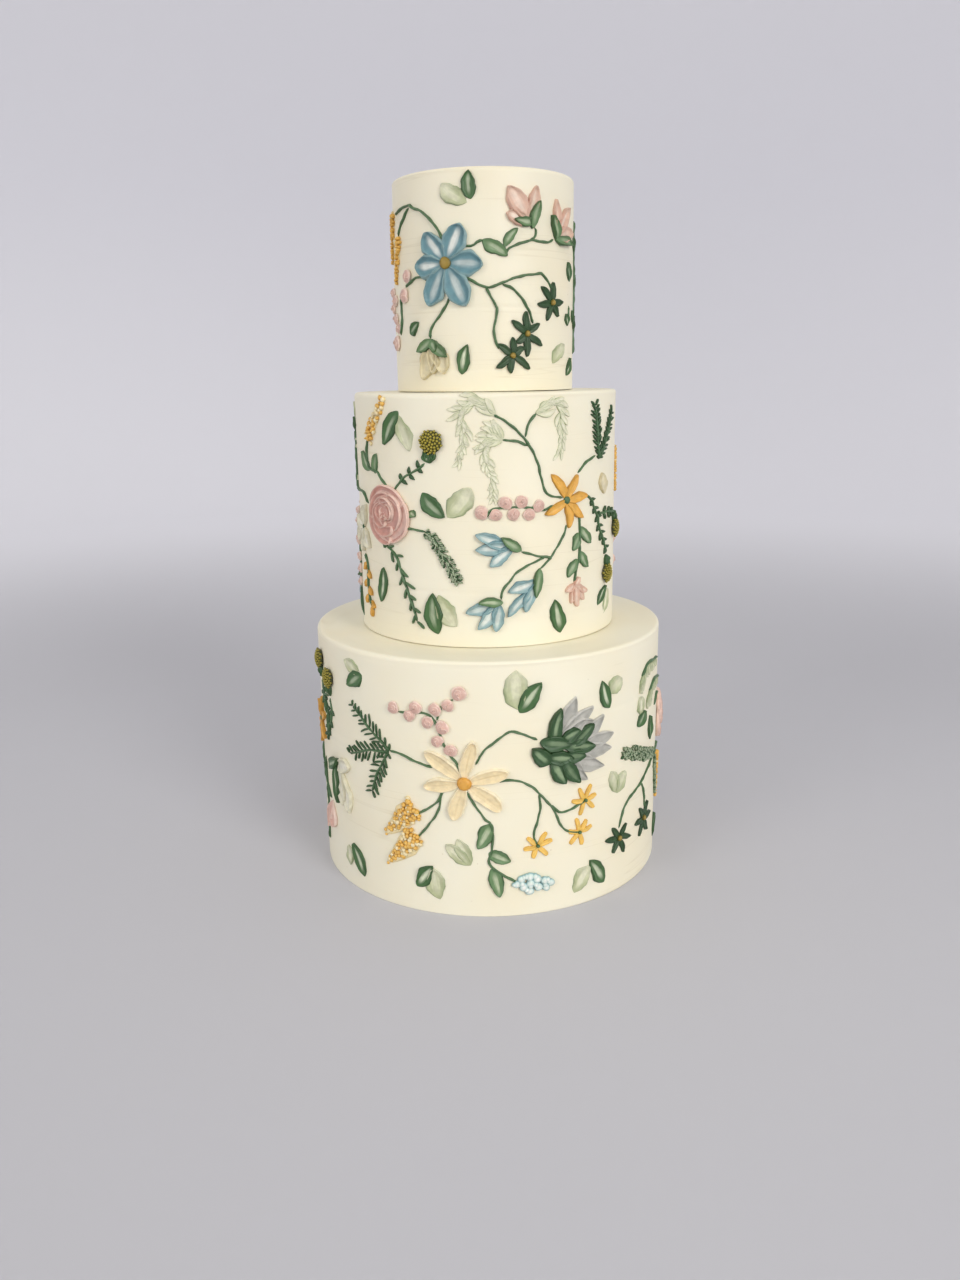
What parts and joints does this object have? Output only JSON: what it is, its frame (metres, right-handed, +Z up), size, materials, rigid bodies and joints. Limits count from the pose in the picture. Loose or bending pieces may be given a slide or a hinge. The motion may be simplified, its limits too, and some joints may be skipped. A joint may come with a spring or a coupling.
{
  "type": "tiered cake",
  "caption": "Three-tier round celebration cake in ivory buttercream, decorated all round with piped and palette-knife flowers, leaves and berries.",
  "frame": {"origin": "centre of the cake's flat underside, on the axis that the three round tiers share", "axes": "+Z up through the tiers; -Y towards the side that the picture shows; +X to that side's right"},
  "size_m": [0.2207, 0.2232, 0.406],
  "materials": {
    "ivory_icing": "satin, piped and spread by hand",
    "blue_icing": "satin, piped and spread by hand",
    "sky_icing": "satin, piped and spread by hand",
    "blush_icing": "satin, piped and spread by hand",
    "rose_icing": "satin, piped and spread by hand",
    "cream_icing": "satin, piped and spread by hand",
    "gold_icing": "satin, piped and spread by hand",
    "olive_icing": "satin, piped and spread by hand",
    "lilac_icing": "satin, piped and spread by hand"
  },
  "bodies": {
    "root": {"bottom_daisy_spray_daisy": "cream_icing", "bottom_daisy_spray_grape_hyacinth": "sky_icing", "bottom_daisy_spray_thistle": "lilac_icing", "bottom_gold_spray_blue_tulip_a": "sky_icing", "bottom_gold_spray_blue_tulip_b": "sky_icing", "bottom_gold_spray_blue_tulip_c": "sky_icing", "bottom_gold_spray_button_a": "olive_icing", "bottom_gold_spray_button_b": "olive_icing", "bottom_gold_spray_gold_star": "gold_icing", "bottom_gold_spray_pink_fan": "blush_icing", "bottom_left_spray_button_a": "olive_icing", "bottom_left_spray_button_b": "olive_icing", "bottom_left_spray_gold_star": "gold_icing", "bottom_left_spray_pink_bud": "blush_icing", "bottom_left_spray_white_magnolia": "cream_icing", "bottom_right_spray_rose": "rose_icing", "bottom_rose_spray_button": "olive_icing", "bottom_rose_spray_rose": "rose_icing", "bottom_rose_spray_white_flower": "cream_icing", "bottom_tier": "ivory_icing", "middle_blue_spray_blue_flower": "blue_icing", "middle_blue_spray_cream_bud": "cream_icing", "middle_blue_spray_pink_magnolia_a": "blush_icing", "middle_blue_spray_pink_magnolia_b": "blush_icing", "middle_gold_spray_blue_tulip_a": "sky_icing", "middle_gold_spray_blue_tulip_b": "sky_icing", "middle_gold_spray_blue_tulip_c": "sky_icing", "middle_gold_spray_button_a": "olive_icing", "middle_gold_spray_button_b": "olive_icing", "middle_gold_spray_gold_star": "gold_icing", "middle_gold_spray_pink_fan": "blush_icing", "middle_rose_spray_button": "olive_icing", "middle_rose_spray_rose": "rose_icing", "middle_rose_spray_white_flower": "cream_icing", "middle_small_gold_spray_blue_tulip_a": "sky_icing", "middle_small_gold_spray_blue_tulip_b": "sky_icing", "middle_small_gold_spray_blue_tulip_c": "sky_icing", "middle_small_gold_spray_button_a": "olive_icing", "middle_small_gold_spray_button_b": "olive_icing", "middle_small_gold_spray_gold_star": "gold_icing", "middle_small_gold_spray_pink_fan": "blush_icing", "middle_tier": "ivory_icing", "top_blue_spray_blue_flower": "blue_icing", "top_blue_spray_cream_bud": "cream_icing", "top_blue_spray_pink_magnolia_a": "blush_icing", "top_blue_spray_pink_magnolia_b": "blush_icing", "top_rose_spray_button": "olive_icing", "top_rose_spray_rose": "rose_icing", "top_rose_spray_white_flower": "cream_icing", "top_tier": "ivory_icing"}
  },
  "joints": []
}
